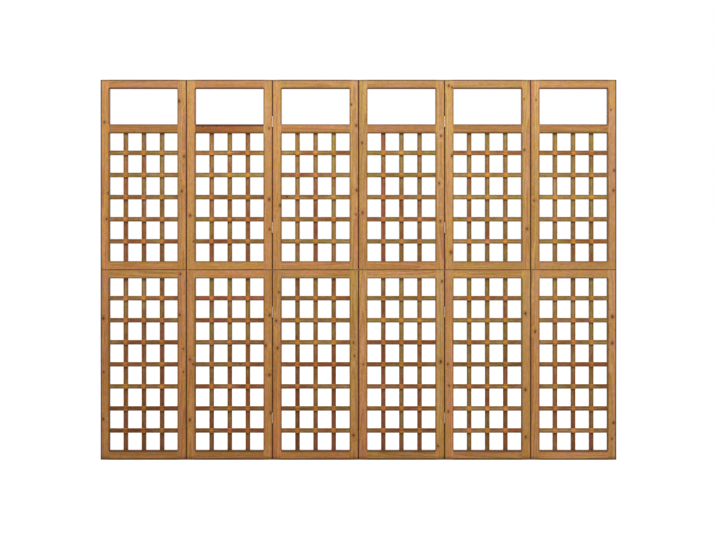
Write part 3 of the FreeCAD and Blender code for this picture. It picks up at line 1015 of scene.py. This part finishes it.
LEAF_SIDES = two_sides(sheet_path())
LEAF_ROWS = [-HINGE_HALF, -SCREW_Z - SCREW_CELL, -SCREW_Z + SCREW_CELL, -KNUCKLE_CLEAR, -KNUCKLE_HALF,
             KNUCKLE_HALF, KNUCKLE_CLEAR, SCREW_Z - SCREW_CELL, SCREW_Z + SCREW_CELL, HINGE_HALF]


def add_leaf(mesh, place, outer_knuckles):
    """A leaf as one sheet: a plate with two countersunk holes, and the knuckles curled round the pin."""
    corners = {}

    def corner(column, row, side):
        key = (column, row, side)
        if key not in corners:
            a, b = LEAF_SIDES[column][side]
            corners[key] = mesh.verts.new(place(a, b, LEAF_ROWS[row]))
        return corners[key]

    def present(column, row):
        if not (0 <= column < len(LEAF_SIDES) - 1 and 0 <= row < len(LEAF_ROWS) - 1):
            return False
        if column < PLATE_CELLS:
            return True
        low, high = LEAF_ROWS[row], LEAF_ROWS[row + 1]
        if outer_knuckles:
            return high <= -KNUCKLE_CLEAR or low >= KNUCKLE_CLEAR
        return low >= -KNUCKLE_HALF and high <= KNUCKLE_HALF

    def hole(column, row):
        middle = (LEAF_ROWS[row] + LEAF_ROWS[row + 1]) / 2
        rims = []
        for side, radius in ((0, SHANK), (1, COUNTERSINK)):
            a = LEAF_SIDES[column][side][0]
            rim = [mesh.verts.new(place(a, SCREW_B + b, middle + up)) for b, up in circle(radius, HOLE_SIDES)]
            square = [corner(column, row + 1, side), corner(column + 1, row + 1, side),
                      corner(column + 1, row, side), corner(column, row, side)]
            quarter = HOLE_SIDES // 4
            for turn in range(4):
                for step in range(quarter):
                    first = turn * quarter + step
                    mesh.faces.new((square[turn], rim[first], rim[(first + 1) % HOLE_SIDES]))
                mesh.faces.new((square[turn], square[(turn + 1) % 4], rim[(turn + 1) * quarter % HOLE_SIDES]))
            rims.append(rim)
        bridge(mesh, *rims)

    def cell(column, row):
        for side in (0, 1):
            mesh.faces.new((corner(column, row, side), corner(column + 1, row, side),
                            corner(column + 1, row + 1, side), corner(column, row + 1, side)))

    def sheet_edges(column, row):
        """The edge of the sheet on each side of a cell that has no neighbour there."""
        for next_column, next_row, start, end in (
            (column - 1, row, (column, row), (column, row + 1)),
            (column + 1, row, (column + 1, row), (column + 1, row + 1)),
            (column, row - 1, (column, row), (column + 1, row)),
            (column, row + 1, (column, row + 1), (column + 1, row + 1)),
        ):
            if not present(next_column, next_row):
                mesh.faces.new((corner(*start, 0), corner(*end, 0), corner(*end, 1), corner(*start, 1)))

    for column in range(len(LEAF_SIDES) - 1):
        for row in range(len(LEAF_ROWS) - 1):
            if not present(column, row):
                continue
            if column == SCREW_COLUMN and row in SCREW_ROWS:
                hole(column, row)
            else:
                cell(column, row)
            sheet_edges(column, row)


def add_screw(mesh, place):
    """A countersunk screw head with a cross recess. The place takes depth, across and up from its middle."""

    def ring(depth, points):
        return [mesh.verts.new(place(depth, across, up)) for across, up in points]

    arm, half = RECESS_ARM, RECESS_HALF
    cross = [(arm, -half), (arm, half), (half, half), (half, arm), (-half, arm), (-half, half),
             (-arm, half), (-arm, -half), (-half, -half), (-half, -arm), (half, -arm), (half, -half)]
    rim = ring(HEAD_TOP, circle(HEAD_RADIUS, HOLE_SIDES))
    foot = ring(HEAD_FOOT, circle(SHANK * SHANK_FIT, HOLE_SIDES))
    lip = ring(HEAD_TOP, cross)
    floor = ring(RECESS_FLOOR, [(across * RECESS_TAPER, up * RECESS_TAPER) for across, up in cross])
    edges = []
    for outline in (rim, lip):
        edges += [mesh.edges.new(pair) for pair in zip(outline, outline[1:] + outline[:1])]
    bmesh.ops.triangle_fill(mesh, use_beauty=True, use_dissolve=False, edges=edges)
    bridge(mesh, rim, foot)
    bridge(mesh, lip, floor)
    mesh.faces.new(floor)
    mesh.faces.new(foot)


def build_hinge_line(line):
    """The four hinges between two panels: leaves, screws and pins, on the bodies that carry them."""
    names = ("left_leaves", "right_leaves", "pins", "left_screws", "right_screws")
    parts = {name: bmesh.new() for name in names}
    for low, high in solids(f"hinge_line_{line}_pins"):
        x, y, z = (low + high) / 2
        into = -1 if y > 0 else 1

        def at(side):
            return lambda a, b, up: Vector((x + side * a * MM, y + into * b * MM, z + up * MM))

        for side, name, outer_knuckles in ((-1, "left", True), (1, "right", False)):
            place = at(side)
            add_leaf(parts[f"{name}_leaves"], place, outer_knuckles)
            for up in (-SCREW_Z, SCREW_Z):
                add_screw(parts[f"{name}_screws"],
                          lambda depth, across, rise: place(depth, SCREW_B + across, up + rise))
        turned(parts["pins"], at(1), PIN, PIN_SIDES)
    for name, mesh in parts.items():
        body = f"panel_{line + 1}" if name.startswith("right") else f"panel_{line}"
        nodes = () if name.endswith("screws") else (f"hinge_line_{line}_{name}",)
        metal_piece(f"zinc_line_{line}_{name}", mesh, body, steel, *nodes)


for panel in range(1, PANELS + 1):
    build_panel(panel)
for line in range(1, LINES + 1):
    build_hinge_line(line)


# Floor, light and camera.

WHITE = (1, 1, 1, 1)
FLOOR_REACH = 60.0
FLOOR_GLOW = 0.90
FLOOR_SEEN = (0.25, 0.25, 0.25, 1)
FLOOR_UNSEEN = (0.44, 0.44, 0.44, 1)
WORLD_SEEN = 1.0
WORLD_UNSEEN = 0.42

# The camera stands where the photo was taken from. The two widths in the photo are in pixels.
CAMERA_PLACE = Vector((-0.0024, -3.9, 0.899))
FRONT_FACE = -0.010
PHOTO_WIDTH = 716
SCREEN_WIDTH_IN_PHOTO = 516.4
SENSOR_WIDTH = 36
FARTHEST_SEEN = 200


def split_by_ray(graph, seen, unseen, *rays):
    """One shader for the named kinds of ray and another for the rest."""
    light_path = graph.node("ShaderNodeLightPath")
    share = light_path.outputs[rays[0]]
    for ray in rays[1:]:
        share = graph.larger(share, light_path.outputs[ray])
    return graph.node("ShaderNodeMixShader", {0: share, 1: unseen, 2: seen}).outputs[0]


def build_floor():
    """A floor that the camera sees almost white with a faint shadow, and that lights the screen as grey."""
    graph = Graph(bpy.data.materials.new("pale_floor"))
    glow = graph.node("ShaderNodeEmission", {"Color": WHITE, "Strength": FLOOR_GLOW}).outputs[0]
    faint = graph.node("ShaderNodeBsdfDiffuse", {"Color": FLOOR_SEEN}).outputs[0]
    seen = graph.node("ShaderNodeAddShader", {0: glow, 1: faint}).outputs[0]
    unseen = graph.node("ShaderNodeBsdfDiffuse", {"Color": FLOOR_UNSEEN}).outputs[0]
    graph.output(split_by_ray(graph, seen, unseen, "Is Camera Ray"))
    mesh = bpy.data.meshes.new("floor")
    corners = [(-1, -1), (1, -1), (1, 1), (-1, 1)]
    mesh.from_pydata([(x * FLOOR_REACH, y * FLOOR_REACH, 0) for x, y in corners], [], [(0, 1, 2, 3)])
    mesh.materials.append(graph.owner)
    linked("floor", mesh)


def build_world():
    """A white background that lights the screen less than it shows."""
    graph = Graph(bpy.data.worlds.new("studio"))
    bpy.context.scene.world = graph.owner
    seen = graph.node("ShaderNodeBackground", {"Color": WHITE, "Strength": WORLD_SEEN}).outputs[0]
    unseen = graph.node("ShaderNodeBackground", {"Color": WHITE, "Strength": WORLD_UNSEEN}).outputs[0]
    mixed = split_by_ray(graph, seen, unseen, "Is Camera Ray", "Is Glossy Ray", "Is Transmission Ray")
    graph.output(mixed, "ShaderNodeOutputWorld")


def area_light(name, position, target, width, height, watts):
    """A rectangular lamp that faces a target."""
    light = bpy.data.lights.new(name, "AREA")
    light.shape = "RECTANGLE"
    light.size = width
    light.size_y = height
    light.energy = watts
    lamp = linked(name, light)
    lamp.location = position
    lamp.rotation_euler = (Vector(target) - Vector(position)).to_track_quat("-Z", "Y").to_euler()


def build_camera():
    """A level camera whose lens makes the screen as wide in the picture as in the photo."""
    data = bpy.data.cameras.new("camera")
    data.sensor_width = SENSOR_WIDTH
    data.clip_end = FARTHEST_SEEN
    to_front = FRONT_FACE - CAMERA_PLACE.y
    share = SCREEN_WIDTH_IN_PHOTO / PHOTO_WIDTH
    data.lens = SENSOR_WIDTH * to_front * share / (cad_high.x - cad_low.x)
    camera = linked("camera", data)
    camera.location = CAMERA_PLACE
    camera.rotation_euler = (math.radians(90), 0, 0)
    bpy.context.scene.camera = camera


build_floor()
build_world()
area_light("key", position=(0.3, -2.7, 4.3), target=(0, 0, 1.0), width=3.6, height=1.6, watts=177)
area_light("back_fill", position=(0.9, 3.0, 3.8), target=(0, 0, 0.9), width=3.6, height=1.6, watts=95)
build_camera()
bpy.context.scene.view_settings.view_transform = "Standard"
